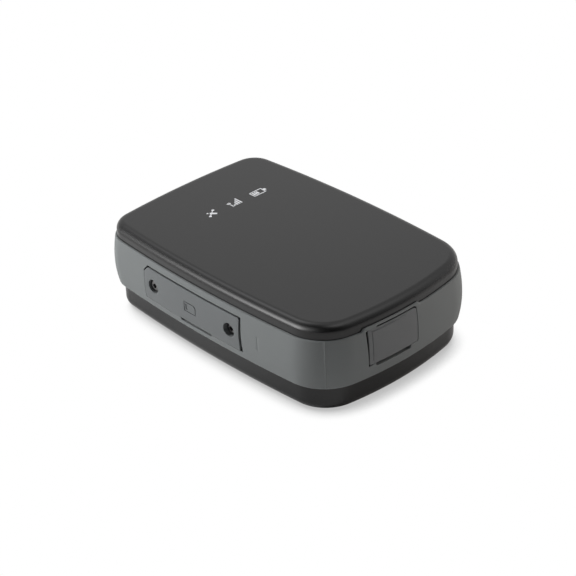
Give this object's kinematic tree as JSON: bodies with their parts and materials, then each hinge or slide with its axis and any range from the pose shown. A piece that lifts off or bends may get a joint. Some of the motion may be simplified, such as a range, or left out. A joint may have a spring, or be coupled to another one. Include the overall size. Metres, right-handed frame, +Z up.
{
  "type": "gps tracker",
  "caption": "Pocket tracker box: black rounded lid and tub, grey bumper band all round, screwed card door on one long side, hinged socket flap on one end.",
  "frame": {"origin": "middle of the underside, at the base of the tub", "axes": "X along the length with the socket flap at +X, Y across the width with the card door at -Y, Z up through the lid"},
  "size_m": [0.092, 0.0622, 0.027],
  "materials": {
    "lid_plastic": "fine grained, satin",
    "tub_plastic": "fine grained, satin",
    "band_rubber": "smooth, dull",
    "flap_rubber": "smooth, dull",
    "seal_rubber": "smooth",
    "gasket_rubber": "smooth",
    "screw_steel": "zinc plated",
    "insert_brass": "knurled",
    "socket_metal": "stamped sheet",
    "card_plastic": "printed card",
    "switch_plastic": "satin",
    "knob_plastic": "satin",
    "board_laminate": "solder mask",
    "chip_plastic": "moulded",
    "part_ceramic": "fired",
    "can_metal": "tinned sheet",
    "cell_foil": "laminated pouch",
    "pad_foam": "closed cell foam",
    "plug_plastic": "moulded",
    "lead_red": "insulated wire",
    "lead_black": "insulated wire",
    "antenna_ceramic": "fired",
    "antenna_silver": "fired silver",
    "antenna_copper": "plated",
    "light_plastic": "clear"
  },
  "bodies": {
    "case": {"top_cover": "lid_plastic", "bottom_case": "tub_plastic", "bumper_band": "band_rubber", "case_gasket": "gasket_rubber", "case_screws": "screw_steel", "cover_inserts": "insert_brass", "door_inserts": "insert_brass", "sim_socket": "socket_metal", "usb_socket": "socket_metal", "power_switch": "switch_plastic", "main_board": "board_laminate", "board_screws": "screw_steel", "board_chips": "chip_plastic", "board_passives": "part_ceramic", "modem_can": "can_metal", "gnss_can": "can_metal", "battery_pack": "cell_foil", "battery_pad": "pad_foam", "battery_socket": "plug_plastic", "battery_plug": "plug_plastic", "battery_lead_plus": "lead_red", "battery_lead_minus": "lead_black", "gnss_antenna": "antenna_ceramic", "gnss_patch": "antenna_silver", "antenna_carrier": "switch_plastic", "antenna_trace": "antenna_copper", "status_leds": "light_plastic", "light_guide": "light_plastic"},
    "door": {"sim_door": "band_rubber", "sim_door_seal": "seal_rubber"},
    "door_screw_left": {"sim_screw_left": "screw_steel"},
    "door_screw_right": {"sim_screw_right": "screw_steel"},
    "card": {"sim_card": "card_plastic"},
    "flap": {"usb_flap": "flap_rubber"},
    "switch_knob": {"power_knob": "knob_plastic"}
  },
  "joints": [
    {"name": "door_pull", "type": "slide", "parent": "case", "child": "door", "axis": [0, -1, 0], "range_m": [0, 0.028]},
    {"name": "screw_left_out", "type": "slide", "parent": "door", "child": "door_screw_left", "axis": [0, -1, 0], "range_m": [0, 0.004]},
    {"name": "screw_right_out", "type": "slide", "parent": "door", "child": "door_screw_right", "axis": [0, -1, 0], "range_m": [0, 0.004]},
    {"name": "card_out", "type": "slide", "parent": "case", "child": "card", "axis": [0, -1, 0], "range_m": [0, 0.014]},
    {"name": "flap_hinge", "type": "hinge", "parent": "case", "child": "flap", "pos_m": [0.04596, 0.00305, 0.0174], "axis": [0, 0, 1], "range_deg": [0, 110]},
    {"name": "switch_slide", "type": "slide", "parent": "case", "child": "switch_knob", "axis": [0, 1, 0], "range_m": [0, 0.002]}
  ],
  "couplings": [
    {"joint": "card_out", "follows": "door_pull", "ratio": 0.5}
  ]
}
